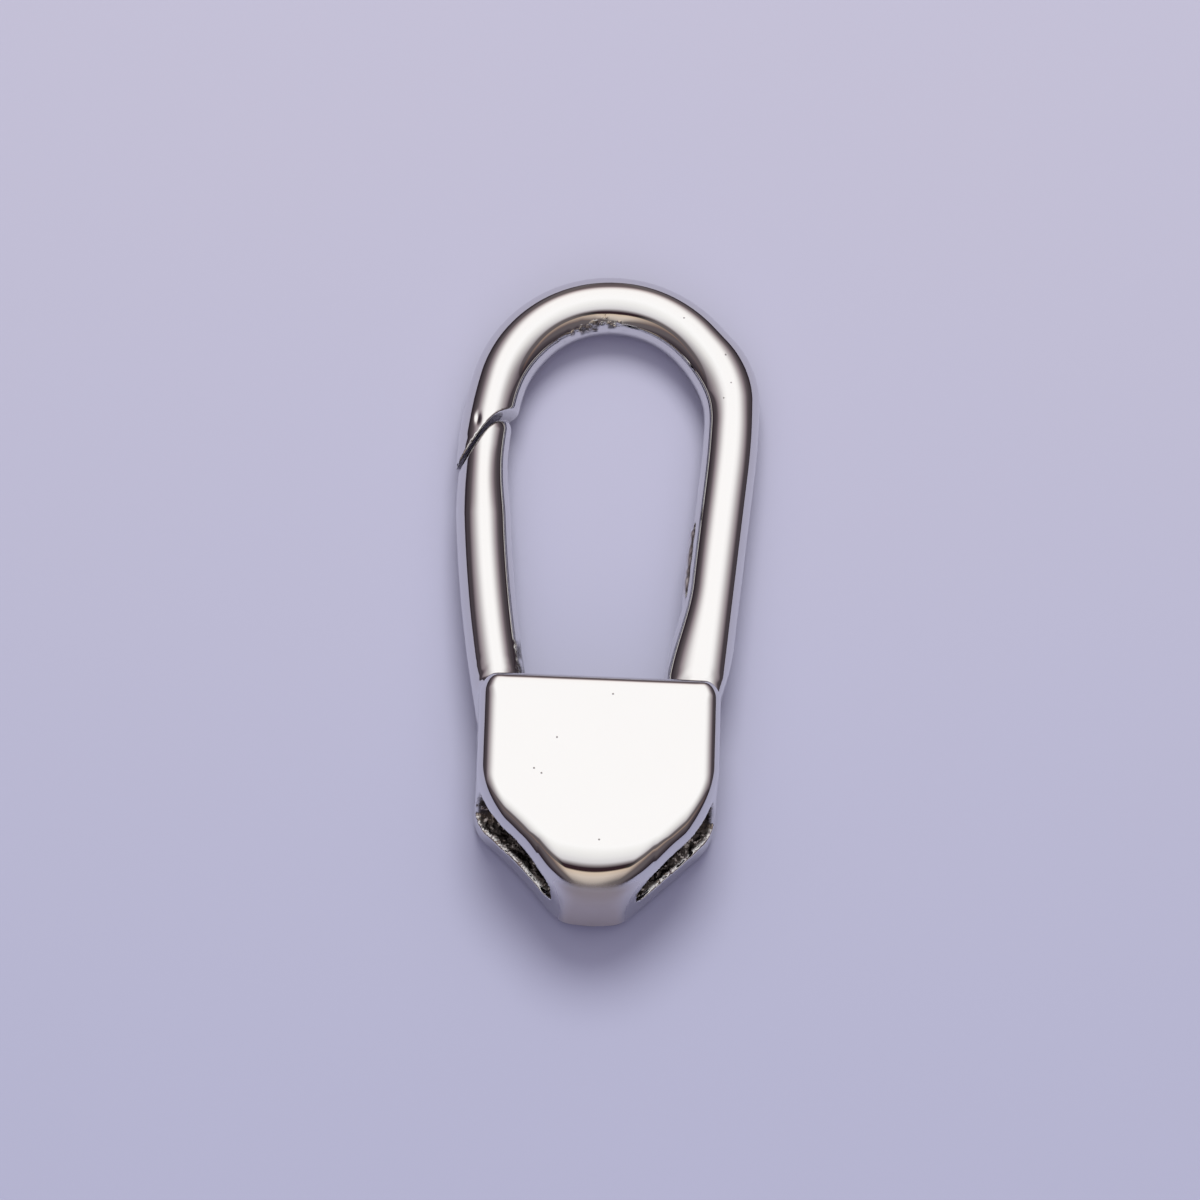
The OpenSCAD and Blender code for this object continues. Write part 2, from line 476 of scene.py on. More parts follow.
@dataclass
class Block:
    """The home-plate block: its outline, edges, link tunnel and gate slot.

    Attributes:
        width: Width across its sides.
        length: Length from its upper wall to the neck's end.
        thickness: Thickness.
        middle: Place of its middle across the loop.
        neck_width: Width of the neck's end.
        neck_draft: How far the neck's end leans out towards the back.
        neck_crown: How far the neck's end draws back 1 mm beside its middle.
        crown_reach: How far beside its middle it goes on drawing back.
        left_sag: How far the left slope dips in at its middle.
        right_sag: How far the right slope dips in at its middle.
        sag_upper: Where that dip begins and where it is full, from the upper wall's side.
        sag_lower: The same from the neck's side.
        side_turn: Half the width over which the left side's sizes turn into the right side's.
        front_rise: Heights over which the walls turn from their form at the back to the front's.
        upper_corners: Radius of the corners by the upper wall, at the back and on the front.
        back_corner: Radius of the corners above the slopes, at the back.
        left_corner: Radius of the corner above the left slope, on the front.
        right_corner: Radius of the corner above the right slope, on the front.
        top_edge: Width of the front edge's buffed rounding along the upper wall.
        left_edge: Width of it along the left side.
        right_edge: Width of it along the right side.
        slope_edge: Width of it along the slopes.
        neck_side_edge: Width of it beside the neck.
        neck_side: Where along the slopes it turns from the one to the other.
        edge_turn: Half the width over which it turns from one wall's width to the next's.
        edge_rise: Heights over which it opens up.
        edge_share: Share of its width below them.
        edge_power: How tightly it turns in its middle.
        neck_edge: Radius of the front edge over the neck.
        neck_flare: How far the slopes step out beside that edge.
        flare_span: Where that step begins and where it is full.
        back_edge: Radius of the edges at the back.
        tunnel_middle: Middle of the tunnel's section, along and above the block.
        tunnel_half: Half length and half height of that section.
        tunnel_corner: Radius of the section's corners.
        tunnel_end: Radius of its front corner by the neck.
        tail_radius: Radius of the gate's tail.
        slot_gap: Space round the gate's tail in its slot.
        slot_right: Place of the slot's right wall.
        slot_top: How far the slot's form is drawn past the upper wall.
        slot_corner: Radius of the slot's corners.
        bore_radius: Radius of the hinge pin's bore.
        bore_depth: Height above the back at which the bore ends.
        lumps: Coarse streaks of the tunnel's walls.
        crumbs: Fine streaks of them.
    """

    width: float = 8.28
    length: float = 7.83
    thickness: float = 4.0
    middle: float = -0.14
    neck_width: float = 1.95
    neck_draft: float = -0.16
    neck_crown: float = 0.1
    crown_reach: float = 2.0
    left_sag: float = 0.12
    right_sag: float = -0.04
    sag_upper: Span = (-3.9, -5.8)
    sag_lower: Span = (-7.9, -6.0)
    side_turn: float = 2.0
    front_rise: Span = (1.0, 3.6)
    upper_corners: Span = (0.3, 0.65)
    back_corner: float = 0.4
    left_corner: float = 1.0
    right_corner: float = 1.1
    top_edge: float = 0.45
    left_edge: float = 0.8
    right_edge: float = 0.7
    slope_edge: float = 0.85
    neck_side_edge: float = 0.6
    neck_side: Span = (-5.9, -7.1)
    edge_turn: float = 0.6
    edge_rise: Span = (1.2, 2.8)
    edge_share: float = 0.35
    edge_power: float = 2.4
    neck_edge: float = 1.78
    neck_flare: float = 0.12
    flare_span: Span = (-6.0, -7.4)
    back_edge: float = 0.12
    tunnel_middle: Spot = (-5.73, 2.075)
    tunnel_half: Span = (1.6, 1.075)
    tunnel_corner: float = 0.5
    tunnel_end: float = 1.0
    tail_radius: float = 1.0
    slot_gap: float = 0.1
    slot_right: float = -2.17
    slot_top: float = 0.4
    slot_corner: float = 0.15
    bore_radius: float = 0.41
    bore_depth: float = 3.55
    lumps: Grain = field(default_factory=lambda: Grain(0.34, 11, depth=0.055, upright=0.45))
    crumbs: Grain = field(default_factory=lambda: Grain(0.13, 12, depth=0.03, upright=0.6))

    def outline(self, x: Array, y: Array, z: Array) -> tuple[Array, Array]:
        """The block's upright walls but for the neck's end.

        Args:
            x: Places across the block.
            y: Places along the block.
            z: Heights above its back.

        Returns:
            Distances to the walls, and the width of the front edge's rounding above them.
        """
        u = x - self.middle
        right = climb(u, -self.side_turn, self.side_turn)
        rise = climb(z, *self.front_rise)
        sides = np.abs(u) - self.width / 2
        slopes = (np.abs(u) - y - self.length - self.neck_width / 2) / math.sqrt(2.0)
        sag = between(self.left_sag, self.right_sag, right)
        slopes = slopes + sag * window(y, self.sag_upper, self.sag_lower)
        slopes = slopes - self.neck_flare * climb(y, *self.flare_span) * rise
        corner = between(self.left_corner, self.right_corner, right)
        upper = round_cut(sides, y + 0.0 * x, between(*self.upper_corners, rise))
        walls = round_cut(upper, slopes, between(self.back_corner, corner, rise))
        edge = between(self.left_edge, self.right_edge, right)
        edge = between(edge, self.top_edge, climb(y - sides, -self.edge_turn, self.edge_turn))
        lower = between(self.slope_edge, self.neck_side_edge, climb(y, *self.neck_side))
        edge = between(edge, lower, climb(slopes - upper, -self.edge_turn, self.edge_turn))
        return walls, edge * between(self.edge_share, 1.0, climb(z, *self.edge_rise))

    def neck(self, x: Array, y: Array, z: Array) -> Array:
        """Distances to the neck's end wall and the broad round above it."""
        wall = -self.length - y + self.neck_draft * z / self.thickness
        beside = np.minimum(np.abs(x - self.middle), self.crown_reach)
        wall = wall + self.neck_crown * beside**2
        return round_cut(wall, z - self.thickness, self.neck_edge)

    def body(self, x: Array, y: Array, z: Array) -> Array:
        """Distances to the block before anything is cut out of it."""
        walls, edge = self.outline(x, y, z)
        plate = soft_cut(walls, self.neck(x, y, z), edge, self.edge_power)
        return round_cut(plate, -z, self.back_edge)

    def tunnel(self, x: Array, y: Array, z: Array) -> Array:
        """Distances to the rough cast passage for a chain's link."""
        along, up = y - self.tunnel_middle[0], z - self.tunnel_middle[1]
        corner = np.where((along < 0) & (up > 0), self.tunnel_end, self.tunnel_corner)
        dy = np.abs(along) - self.tunnel_half[0] + corner
        dz = np.abs(up) - self.tunnel_half[1] + corner
        reach = np.hypot(np.maximum(dy, 0.0), np.maximum(dz, 0.0))
        smooth = reach + np.minimum(np.maximum(dy, dz), 0.0) - corner
        return smooth + self.lumps.at(x, y, z) + self.crumbs.at(x, y, z)

    def slot(self, loop: Loop, x: Array, y: Array, z: Array) -> Array:
        """Distances to the space for the gate's tail."""
        radius = self.tail_radius + self.slot_gap
        px, py, pz = loop.pivot
        height = np.abs(z - pz) - loop.bar_radius - self.slot_gap
        round_part = np.hypot(x - px, y - py) - radius
        mouth = np.maximum(x - self.slot_right, py - y)
        side = np.maximum(x - px, py - radius - y)
        plan = np.maximum(np.minimum(round_part, np.minimum(mouth, side)), y - self.slot_top)
        return round_cut(plan, height, self.slot_corner)

    def bore(self, loop: Loop, x: Array, y: Array, z: Array) -> Array:
        """Distances to the hinge pin's blind bore."""
        px, py, _ = loop.pivot
        return np.maximum(np.hypot(x - px, y - py) - self.bore_radius, z - self.bore_depth)


@dataclass
class Net:
    """Meshes a solid given by distances, with every point seated on its surface.

    Attributes:
        low: Lowest corner of the space that is searched, in millimetres.
        high: Highest corner of it.
        cell: Size of a mesh cell.
    """

    low: Point
    high: Point
    cell: float

    def axes(self) -> list[Array]:
        """Grid places along the three axes."""
        ends = zip(self.low, self.high)
        return [np.linspace(a, b, int(round((b - a) / self.cell)) + 1) for a, b in ends]

    def slope(self, solid: Solid, points: Array, step: float) -> Array:
        """Directions in which the distance grows, with their lengths."""
        columns = []
        for axis in range(3):
            shift = np.zeros(3)
            shift[axis] = step
            ahead, behind = points + shift, points - shift
            columns.append((solid(*ahead.T) - solid(*behind.T)) / (2.0 * step))
        return np.stack(columns, axis=1)

    def seat(self, solid: Solid, points: Array, rounds: int) -> Array:
        """Moves points along the slope onto the surface."""
        for _ in range(rounds):
            slope = self.slope(solid, points, 0.004)
            size = np.maximum((slope**2).sum(1), 0.05)
            move = -solid(*points.T)[:, None] * slope / size[:, None]
            length = np.linalg.norm(move, axis=1, keepdims=True)
            points = points + move * np.minimum(1.0, 0.5 * self.cell / np.maximum(length, 1e-9))
        return points

    def build(self, solid: Solid) -> tuple[Array, Array, Array]:
        """Meshes the solid.

        Args:
            solid: Gives the distance at any place, negative inside.

        Returns:
            Points, quads as point numbers, and the outward direction at each point.
        """
        xs, ys, zs = self.axes()
        grid = solid(xs[:, None, None], ys[None, :, None], zs[None, None, :])
        inside = grid < 0.0
        corners = [(i, j, k) for i in (0, 1) for j in (0, 1) for k in (0, 1)]
        shape = np.array(inside.shape) - 1
        window = [
            inside[i : i + shape[0], j : j + shape[1], k : k + shape[2]] for i, j, k in corners
        ]
        count = sum(part.astype(np.int8) for part in window)
        cells = np.argwhere((count > 0) & (count < 8))
        number = np.full(tuple(shape), -1, np.int64)
        number[tuple(cells.T)] = np.arange(len(cells))
        points = np.stack([axis[cells[:, n]] for n, axis in enumerate((xs, ys, zs))], axis=1)
        points = self.seat(solid, points + self.cell / 2, 3)
        quads = self.quads(inside, number)
        points = self.relax(points, quads, solid)
        slope = self.slope(solid, points, 0.008)
        outward = slope / np.maximum(np.linalg.norm(slope, axis=1, keepdims=True), 1e-9)
        return points, quads, outward

    def quads(self, inside: Array, number: Array) -> Array:
        """Joins the cells round each grid edge that the surface crosses."""
        found = []
        for axis in range(3):
            first, second = (axis + 1) % 3, (axis + 2) % 3
            here = np.moveaxis(inside, (axis, first, second), (0, 1, 2))
            names = np.moveaxis(number, (axis, first, second), (0, 1, 2))
            start, stop = here[:-1, 1:-1, 1:-1], here[1:, 1:-1, 1:-1]
            around = [names[:, :-1, :-1], names[:, 1:, :-1], names[:, 1:, 1:], names[:, :-1, 1:]]
            for leaving in (True, False):
                crossed = (start & ~stop) if leaving else (~start & stop)
                ring = np.stack([part[crossed] for part in around], axis=1)
                found.append(ring if leaving else ring[:, ::-1])
        quads = np.concatenate(found)
        return quads[(quads >= 0).all(axis=1)]

    def relax(self, points: Array, quads: Array, solid: Solid) -> Array:
        """Evens the mesh out and seats it again."""
        for _ in range(2):
            total = np.zeros_like(points)
            times = np.zeros(len(points))
            for side in range(4):
                one, other = quads[:, side], quads[:, (side + 1) % 4]
                for n in range(3):
                    total[:, n] += np.bincount(one, points[other, n], len(points))
                    total[:, n] += np.bincount(other, points[one, n], len(points))
                times += np.bincount(one, minlength=len(points))
                times += np.bincount(other, minlength=len(points))
            mean = total / np.maximum(times, 1.0)[:, None]
            points = self.seat(solid, 0.5 * (points + mean), 2)
        return points


def add_object(name: str, data: bpy.types.ID) -> bpy.types.Object:
    """A new object for a mesh, a lamp or a camera, linked to the scene."""
    made = bpy.data.objects.new(name, data)
    bpy.context.scene.collection.objects.link(made)
    return made


def make_piece(
    name: str, points: Array, faces: list[list[int]], outward: Array | None, attitude: Attitude
) -> bpy.types.Object:
    """Makes a mesh object from flat points, laid down in the row frame.

    Args:
        name: The piece's name.
        points: Points of the flat drawing, in millimetres.
        faces: The numbers of each face's points.
        outward: Direction at each point that the shading follows, or None for the mesh's own.
        attitude: Where the flat drawing lies.

    Returns:
        The new object, linked to the scene.
    """
    mesh = bpy.data.meshes.new(name)
    mesh.from_pydata(attitude.points(points), [], faces)
    mesh.polygons.foreach_set("use_smooth", [True] * len(mesh.polygons))
    if outward is not None:
        mesh.normals_split_custom_set_from_vertices(attitude.directions(outward).tolist())
    mesh.update()
    return add_object(name, mesh)


def add_values(piece: bpy.types.Object, name: str, values: Array) -> None:
    """Stores one number for each point of a piece's mesh, for its finish to read."""
    store = piece.data.attributes.new(name, "FLOAT", "POINT")
    store.data.foreach_set("value", values.astype(np.float32))


class Nodes:
    """Short ways to add and join nodes of one tree."""

    def __init__(self, tree: bpy.types.NodeTree) -> None:
        """Starts on an empty tree."""
        self.tree = tree
        tree.nodes.clear()

    def add(self, kind: str, **settings: object) -> bpy.types.Node:
        """A new node of a kind, with the settings given."""
        node = self.tree.nodes.new(kind)
        for key, value in settings.items():
            setattr(node, key, value)
        return node

    def join(self, source: Socket, target: Socket) -> None:
        """Links an output to an input."""
        self.tree.links.new(source, target)

    def feed(self, target: Socket, value: Socket | float | tuple) -> None:
        """Sets an input, or links it if the value is an output."""
        if isinstance(value, bpy.types.NodeSocket):
            self.join(value, target)
        else:
            target.default_value = value

    def math(self, operation: str, *values: Socket | float) -> Socket:
        """Result of a math node."""
        node = self.add("ShaderNodeMath", operation=operation)
        for target, value in zip(node.inputs, values):
            self.feed(target, value)
        return node.outputs[0]

    def blend(self, share: Socket | float, low: Socket | tuple, high: Socket | tuple) -> Socket:
        """Colour between low and high."""
        node = self.add("ShaderNodeMix", data_type="RGBA")
        self.feed(node.inputs["Factor"], share)
        self.feed(node.inputs[6], low)
        self.feed(node.inputs[7], high)
        return node.outputs[2]

    def mix(self, kind: str, first: Socket, second: Socket) -> Socket:
        """Two colours put together in full, by a blend type."""
        node = self.add("ShaderNodeMix", data_type="RGBA", blend_type=kind)
        node.inputs["Factor"].default_value = 1.0
        self.join(first, node.inputs[6])
        self.join(second, node.inputs[7])
        return node.outputs[2]

    def step(
        self, value: Socket, low: float, high: float, start: float = 0.0, stop: float = 1.0
    ) -> Socket:
        """Smooth change from start to stop as the value goes from low to high."""
        node = self.add("ShaderNodeMapRange", interpolation_type="SMOOTHSTEP")
        self.join(value, node.inputs["Value"])
        node.inputs["From Min"].default_value = low
        node.inputs["From Max"].default_value = high
        node.inputs["To Min"].default_value = start
        node.inputs["To Max"].default_value = stop
        return node.outputs["Result"]

    def noise(self, place: Socket, scale: float, detail: float = 2.0) -> Socket:
        """Noise of a scale in lumps a metre."""
        node = self.add("ShaderNodeTexNoise")
        self.join(place, node.inputs["Vector"])
        node.inputs["Scale"].default_value = scale
        node.inputs["Detail"].default_value = detail
        return node.outputs["Fac"]

    def stored(self, name: str) -> Socket:
        """Number that the mesh stores at each point under a name."""
        return self.add("ShaderNodeAttribute", attribute_name=name).outputs["Fac"]

    def parts(self, place: Socket) -> tuple[Socket, Socket, Socket]:
        """The x, y and z of a place."""
        node = self.add("ShaderNodeSeparateXYZ")
        self.join(place, node.inputs[0])
        return tuple(node.outputs[axis] for axis in "XYZ")

    def distance(self, place: Socket, point: Vector) -> Socket:
        """Distance of a place from a fixed point."""
        node = self.add("ShaderNodeVectorMath", operation="DISTANCE")
        self.join(place, node.inputs[0])
        node.inputs[1].default_value = point
        return node.outputs["Value"]

    def bump(self, height: Socket) -> Socket:
        """Normal of a surface that is raised by a height in metres."""
        node = self.add("ShaderNodeBump")
        node.inputs["Distance"].default_value = 1.0
        self.join(height, node.inputs["Height"])
        return node.outputs["Normal"]

    def surface(self, inputs: dict[str, Socket | float]) -> None:
        """Ends a material in one shader, with its inputs given by name."""
        shader = self.add("ShaderNodeBsdfPrincipled")
        for name, value in inputs.items():
            self.feed(shader.inputs[name], value)
        output = self.add("ShaderNodeOutputMaterial")
        self.join(shader.outputs["BSDF"], output.inputs["Surface"])


def new_material(name: str) -> tuple[bpy.types.Material, Nodes]:
    """A new material and its empty tree."""
    material = bpy.data.materials.new(name)
    material.use_nodes = True
    return material, Nodes(material.node_tree)


@dataclass(frozen=True)
class PolishedPlate:
    """Bright plated metal, mirror polished where a wheel reached and left rough where it did not,
    with painted shade in its cast skin.

    A noise is given by its lumps a metre and its detail.

    Attributes:
        name: Name of the material.
        bright: Colour of the polished metal.
        shaded_skin: Colour of the cast skin in hollows, painted near black as the shade that falls
            in them.
        worn: Colour of the skin's high spots.
        frosted_and_shaded: Colour of the metal where it was left satin, painted a little darker as
            shade.
        speck: Colour of the small pits.
        mirror: Roughness of the polish.
        satin: Roughness added where the metal was left satin.
        cast_rough: Roughness added by the cast skin.
        marks: Places of the small pits in the polish, in the flat drawing.
        mark_radius: Radius of such a pit.
        mark_depth: Its depth, in metres.
        haze: Noise of faint clouds in the bright colour.
        haze_share: Share of the bright colour that is left in them.
        crust: Noise of the cast skin.
        crust_worn: Values of it over which the skin turns from dull to worn.
        grit: Height of the cast skin's grit, in metres.
        fine: Noise of the fine grain that polishing leaves.
        fine_rough: Spread of the roughness that it gives.
        fine_height: Height of it, in metres.
    """

    name: str
    bright: Colour = (0.72, 0.715, 0.71, 1.0)
    shaded_skin: Colour = (0.075, 0.065, 0.062, 1.0)
    worn: Colour = (0.5, 0.46, 0.44, 1.0)
    frosted_and_shaded: Colour = (0.68, 0.64, 0.64, 1.0)
    speck: Colour = (0.34, 0.32, 0.31, 1.0)
    mirror: float = 0.035
    satin: float = 0.7
    cast_rough: float = 0.3
    marks: tuple[Point, ...] = ()
    mark_radius: float = 0.035
    mark_depth: float = 1e-5
    haze: Span = (420.0, 3.0)
    haze_share: float = 0.985
    crust: Span = (7000.0, 4.0)
    crust_worn: Span = (0.54, 0.66)
    grit: float = 6e-5
    fine: Span = (26000.0, 2.0)
    fine_rough: float = 0.02
    fine_height: float = 5e-8

    def make(self, attitude: Attitude) -> bpy.types.Material:
        """Builds the material for pieces laid down by an attitude."""
        material, nodes = new_material(self.name)
        place = nodes.add("ShaderNodeTexCoord").outputs["Object"]
        cast, satin = nodes.stored("cast"), nodes.stored("satin")
        pits = self.pits(nodes, place, attitude)
        haze = nodes.noise(place, *self.haze)
        fine = nodes.noise(place, *self.fine)
        crust = nodes.noise(place, *self.crust)
        hazy = (*(self.haze_share * share for share in self.bright[:3]), 1.0)
        shiny = nodes.blend(haze, self.bright, hazy)
        # Cast skin tone: the shaded skin colour is painted shade, near black in hollows; the worn
        # colour sits on the crust's high spots.
        skin_tone_and_shade = nodes.blend(nodes.step(crust, *self.crust_worn), self.shaded_skin, self.worn)
        # The satin share takes the frosted colour, a little darker as painted shade; the cast
        # share takes the painted shade of the skin.
        tone = nodes.blend(cast, nodes.blend(satin, shiny, self.frosted_and_shaded), skin_tone_and_shade)
        tone = nodes.blend(pits, tone, self.speck)
        base = self.mirror - self.fine_rough / 2
        rough = nodes.math("MULTIPLY_ADD", fine, self.fine_rough, base)
        rough = nodes.math("MULTIPLY_ADD", cast, self.cast_rough, rough)
        rough = nodes.math("MULTIPLY_ADD", satin, self.satin, rough)
        grit = nodes.math("MULTIPLY", nodes.math("MULTIPLY", crust, cast), self.grit)
        dent = nodes.math("MULTIPLY_ADD", pits, -self.mark_depth, grit)
        height = nodes.math("MULTIPLY_ADD", fine, self.fine_height, dent)
        normal = nodes.bump(height)
        look = {"Metallic": 1.0, "Base Color": tone, "Roughness": rough, "Normal": normal}
        nodes.surface(look)
        return material

    def pits(self, nodes: Nodes, place: Socket, attitude: Attitude) -> Socket | float:
        """Share of pit at each place: 1 in the middle of a mark and 0 away from it."""
        total: Socket | float = 0.0
        for mark in self.marks:
            gap = nodes.distance(place, attitude.point(mark))
            radius = self.mark_radius * MM
            share = nodes.step(gap, 0.5 * radius, radius, 1.0, 0.0)
            total = nodes.math("MAXIMUM", total, share)
        return total


@dataclass(frozen=True)
class TurnedSteel:
    """Plain turned steel with fine rings round an axis.

    Attributes:
        name: Name of the material.
        tone: Colour of the metal.
        stained: Share of that colour in its stains.
        stain: Noise of the stains: lumps a metre, and detail.
        stain_span: Values of it over which they set in.
        smooth: Roughness of the metal where it is clean.
        stain_rough: Roughness added by the stains.
        ring: Distance between rings, in millimetres.
        ring_height: Height of the rings, in metres.
    """

    name: str
    tone: Colour = (0.5, 0.49, 0.48, 1.0)
    stained: float = 0.6
    stain: Span = (3000.0, 4.0)
    stain_span: Span = (0.35, 0.7)
    smooth: float = 0.2
    stain_rough: float = 0.25
    ring: float = 0.06
    ring_height: float = 1.2e-6

    def make(self, centre: Vector) -> bpy.types.Material:
        """Builds the material with its rings round the centre."""
        material, nodes = new_material(self.name)
        place = nodes.add("ShaderNodeTexCoord").outputs["Object"]
        turns = nodes.math("MULTIPLY", nodes.distance(place, centre), math.tau / (self.ring * MM))
        rings = nodes.math("MULTIPLY", nodes.math("SINE", turns), self.ring_height)
        stain = nodes.noise(place, *self.stain)
        dark = (*(self.stained * share for share in self.tone[:3]), 1.0)
        tone = nodes.blend(nodes.step(stain, *self.stain_span), self.tone, dark)
        rough = nodes.math("MULTIPLY_ADD", stain, self.stain_rough, self.smooth)
        normal = nodes.bump(rings)
        look = {"Metallic": 1.0, "Base Color": tone, "Roughness": rough, "Normal": normal}
        nodes.surface(look)
        return material


@dataclass(frozen=True)
class Mark:
    """A soft-edged raised or sunken spot, seen from the front.

    Attributes:
        middle: Its middle.
        reach: How far it reaches across the loop and along it.
        height: Its height, which is negative for a dent.
    """

    middle: Spot
    reach: Spot
    height: float

    def at(self, x: Array, y: Array) -> Array:
        """Height that it adds at the points x, y."""
        across = bell(x, self.middle[0], self.reach[0])
        return self.height * across * bell(y, self.middle[1], self.reach[1])


@dataclass
class Casting:
    """The one-piece frame: the loop's fixed bar with its nose, and the block.

    A span gives the place where something begins and the place where it is full.

    Attributes:
        loop: Sizes of the loop's bar.
        block: Sizes of the block.
        seam: The cut below the nose.
        polish: Waves in its surface.
        low: Lowest corner of the space that it fills.
        high: Highest corner of that space.
        foot_flare: Extra half width of the bar where it meets the block, towards the inside.
        foot_span: Span of that flare along the loop.
        foot_lean: How fast the bar's foot may pass the block's right wall, upwards.
        foot_low: Where below the upper wall that begins.
        foot_edge: Radius of the foot's edge there.
        arch_flare: Extra half width of the bar inside the arch.
        arch_span: Span of that flare along the loop.
        section: Power of the bar's section on the arch and on the right side, 2 being round.
        section_span: Span of the change between them.
        wall_slack: How far the inner wall may draw away from the outer wall's line.
        nose_edge: Radius of the nose's edge at the seam.
        dent: The dent by the nose.
        tip_lumps: Lumps left on the nose's tip.
        foot_lumps: Height of the lumps on the bar's foot.
        lumps_span: Span of those lumps along the loop.
        pit_depth: Depth of the pits inside the arch.
        pit_skin: Share of cast skin in them.
        pit_spread: How much the noise of the pits breaks the skin's edge up.
        pit_span: Span of the patch's share over which their skin sets in.
        patch_depth: How far the arch's rough patch reaches over its inner wall.
        patch_across: Middle and reach of the patch across the loop.
        patch_up: Middle and reach of it in height.
        ridge_height: Height of the parting ridge left inside the right side.
        ridge_reach: How far it reaches over the inner wall.
        ridge_ends: Spans of its lower and upper end along the loop.
        ridge_sides: Spans of its top and bottom in height.
        ridge_broken: Mean height share of it, and how much the noise of the pits changes that.
        satin_facing: Span of a wall's southward share where the neck's end is left satin.
        satin_top: Span of that satin in height.
        satin_south: Span of it along the block.
        satin_ridge: Share of satin on the parting ridge.
        skin_depth: Span of depth in the block over which the cast skin sets in.
        skin_near: Span of the distance from the slot or the tunnel over which it does.
        fillet: Radius where the bar meets the block.
        slot_edge: Radius of the slot's edges.
        bore_edge: Radius of the bore's edge.
        tunnel_edge: Radius of the tunnel's edges.
        cell: Size of a mesh cell.
        rough: Noise of the lumps.
        pitted: Noise of the pits.
    """

    loop: Loop
    block: Block
    seam: Seam
    polish: Grain = field(default_factory=polish_waves)
    low: Point = (-5.4, -8.05, -0.12)
    high: Point = (5.4, 15.7, 4.12)
    foot_flare: float = 0.4
    foot_span: Span = (4.0, 0.4)
    foot_lean: float = 0.3
    foot_low: float = -0.3
    foot_edge: float = 0.15
    arch_flare: float = 0.13
    arch_span: Span = (10.6, 12.6)
    section: Span = (2.05, 2.25)
    section_span: Span = (12.5, 9.5)
    wall_slack: float = 0.3
    nose_edge: float = 0.05
    dent: Mark = Mark((-4.66, 9.68), (0.085, 0.2), -0.06)
    tip_lumps: Mark = Mark((-5.0, 8.8), (0.3, 0.5), 0.014)
    foot_lumps: float = 0.012
    lumps_span: Span = (0.9, 0.1)
    pit_depth: float = 0.025
    pit_skin: float = 0.8
    pit_spread: float = 0.6
    pit_span: Span = (0.3, 0.55)
    patch_depth: float = 0.25
    patch_across: Span = (-0.75, 0.85)
    patch_up: Span = (2.5, 0.26)
    ridge_height: float = 0.13
    ridge_reach: float = 0.2
    ridge_ends: tuple[Span, Span] = ((3.2, 3.8), (6.6, 5.8))
    ridge_sides: tuple[Span, Span] = ((2.46, 2.34), (1.6, 2.1))
    ridge_broken: Span = (0.8, 0.35)
    satin_facing: Span = (0.74, 0.98)
    satin_top: Span = (3.6, 3.1)
    satin_south: Span = (-6.8, -7.1)
    satin_ridge: float = 0.7
    skin_depth: Span = (0.07, 0.19)
    skin_near: Span = (0.25, 0.1)
    fillet: float = 0.12
    slot_edge: float = 0.07
    bore_edge: float = 0.03
    tunnel_edge: float = 0.06
    cell: float = 0.073
    rough: Grain = field(default_factory=lambda: Grain(0.3, 21))
    pitted: Grain = field(default_factory=lambda: Grain(0.16, 22))

    def bar(self, x: Array, y: Array, z: Array) -> Array:
        """Distances to the fixed bar, from the nose round to its foot."""
        crown = self.arch_flare * climb(y, *self.arch_span)
        left = self.loop.bar(self.loop.left_line.offset(x, y), z, self.section[0], crown)
        left = round_cut(left, -self.seam.above(x, y), self.nose_edge)
        square = between(*self.section, climb(y, *self.section_span))
        flare = self.foot_flare * climb(y, *self.foot_span) + crown
        outer = self.loop.right_line.offset(x, y)
        inner = np.clip(self.loop.inner_line.offset(x, y), outer, outer + self.wall_slack)
        half = self.loop.bar_radius + (inner - outer) / 2
        middle = self.loop.bar_radius * (inner + outer) / 2 / half
        right = self.loop.bar(middle, z, square, flare)
        wall = self.block.middle + self.block.width / 2
        past = x - wall - self.foot_lean * (y - self.foot_low)
        right = round_cut(right, past, self.foot_edge)
        return np.minimum(left, right)

    def marks(self, x: Array, y: Array, z: Array) -> Array:
        """Height added to the bar by its casting marks: pits, a dent and a rough foot."""
        pits = self.pit_depth * self.arch_wall(x, y, z) * (self.pitted.at(x, y, z) - 0.1)
        dent = self.dent.at(x, y) * (z > self.loop.bar_height)
        foot = self.foot_lumps * climb(y, *self.lumps_span) * (y > -0.5) * (x > 1.5)
        lumps = (self.tip_lumps.at(x, y) + foot) * self.rough.at(x, y, z)
        return pits + dent + lumps + self.ridge_height * self.ridge(x, y, z)

    def arch_wall(self, x: Array, y: Array, z: Array) -> Array:
        """Share of the rough patch on the arch's inner wall, 1 in its middle."""
        depth = np.hypot(x, y - self.loop.arch_y) - self.loop.arch_radius + self.loop.bar_radius
        near = bell(depth, -self.arch_flare, self.patch_depth) * bell(x, *self.patch_across)
        return near * bell(z, *self.patch_up) * (y > self.loop.arch_y)

    def satin(self, points: Array, outward: Array) -> Array:
        """Share of satin at each point: on the neck's end and on the parting ridge."""
        x, y, z = points.T
        plan = np.maximum(np.hypot(outward[:, 0], outward[:, 1]), 0.1)
        facing = climb(-outward[:, 1] / plan, *self.satin_facing)
        end = facing * climb(z, *self.satin_top) * climb(y, *self.satin_south)
        # Besides the satin roughness, this share paints the neck's end and the ridge a little
        # darker as shade.
        return np.maximum(end, self.satin_ridge * np.clip(self.ridge(x, y, z), 0.0, 1.0))

    def ridge(self, x: Array, y: Array, z: Array) -> Array:
        """Share of the rough parting ridge on the right side's inner wall."""
        offset = self.loop.inner_line.offset(x, y)
        inside = bell(offset, -self.loop.bar_radius, self.ridge_reach) * (x > 1.0)
        broken = self.ridge_broken[0] + self.ridge_broken[1] * self.pitted.at(x, y, z)
        return inside * broken * window(y, *self.ridge_ends) * window(z, *self.ridge_sides)

